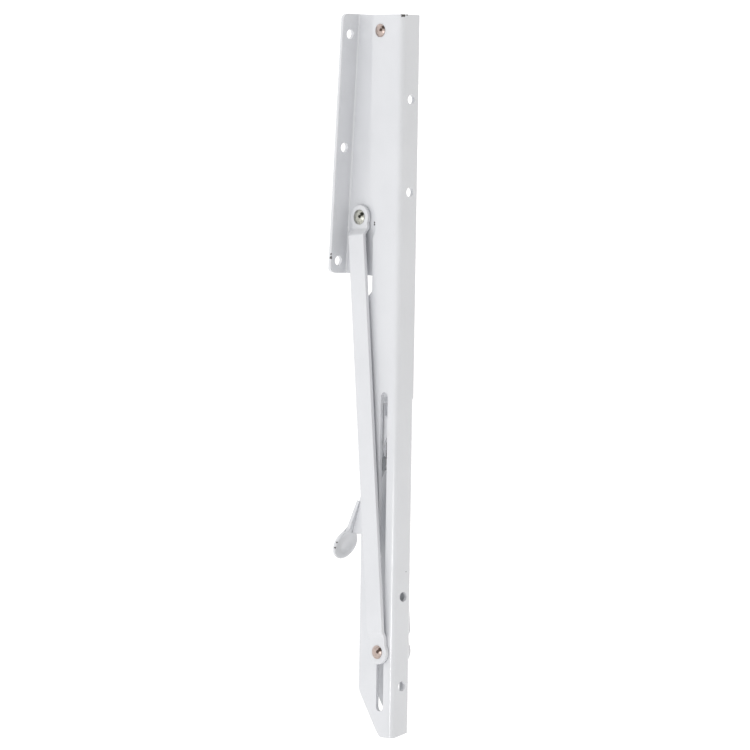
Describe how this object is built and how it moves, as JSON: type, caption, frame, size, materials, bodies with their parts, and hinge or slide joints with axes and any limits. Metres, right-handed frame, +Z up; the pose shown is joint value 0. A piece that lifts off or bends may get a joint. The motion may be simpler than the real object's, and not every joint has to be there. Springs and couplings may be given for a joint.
{
  "type": "drop leaf table bracket",
  "caption": "Folding wall bracket with a long leaf arm, paired struts that slide in the arm's slots, and a sprung release lever with a round thumb paddle.",
  "frame": {"origin": "centre of the middle wall hole, on the face that lies on the wall", "axes": "+Z up along the wall leg, +Y into the wall, -X the side with the arm's full length web"},
  "size_m": [0.0295, 0.0595, 0.4063],
  "materials": {
    "white_powder_coat": "satin white powder coat with fine orange peel",
    "pivot_rivet_steel": "bare coppery rivet steel",
    "strut_rivet_steel": "bare dark grey rivet steel",
    "zinc_steel": "plain zinc plated steel",
    "spring_steel": "bright spring wire"
  },
  "bodies": {
    "leg": {"wall_leg": "white_powder_coat", "main_pivot_rivet": "pivot_rivet_steel", "strut_rivet": "strut_rivet_steel"},
    "arm": {"arm_channel": "white_powder_coat", "lever_rivet": "zinc_steel", "lever_sleeve": "zinc_steel", "lever_spring": "spring_steel"},
    "pin": {"slide_pin": "pivot_rivet_steel"},
    "struts": {"near_strut": "white_powder_coat", "far_strut": "white_powder_coat", "near_rivet_end": "strut_rivet_steel", "far_rivet_end": "strut_rivet_steel", "strut_spacer": "zinc_steel"},
    "lever": {"release_lever": "white_powder_coat"}
  },
  "joints": [
    {"name": "fold", "type": "hinge", "parent": "leg", "child": "arm", "pos_m": [0.01165, -0.0217, 0.067], "axis": [-1, 0, 0], "range_deg": [-3, 87]},
    {"name": "pin_slide", "type": "slide", "parent": "arm", "child": "pin", "axis": [0, 0.0523, 0.9986], "range_m": [-0.006, 0.138]},
    {"name": "strut_swing", "type": "hinge", "parent": "pin", "child": "struts", "pos_m": [0.01165, -0.04768, -0.28152], "axis": [-1, 0, 0], "range_deg": [-1, 23]},
    {"name": "lever_release", "type": "hinge", "parent": "arm", "child": "lever", "pos_m": [0.01165, -0.03475, -0.17625], "axis": [-1, 0, 0], "range_deg": [0, 10], "stiffness_Nm_per_rad": 0.15, "springref_deg": -20.05, "deforming": ["lever_spring"]}
  ],
  "couplings": [
    {"joint": "pin_slide", "follows": "fold", "m_per_rad": 0.089536},
    {"joint": "strut_swing", "follows": "fold", "ratio": 0.25747}
  ]
}
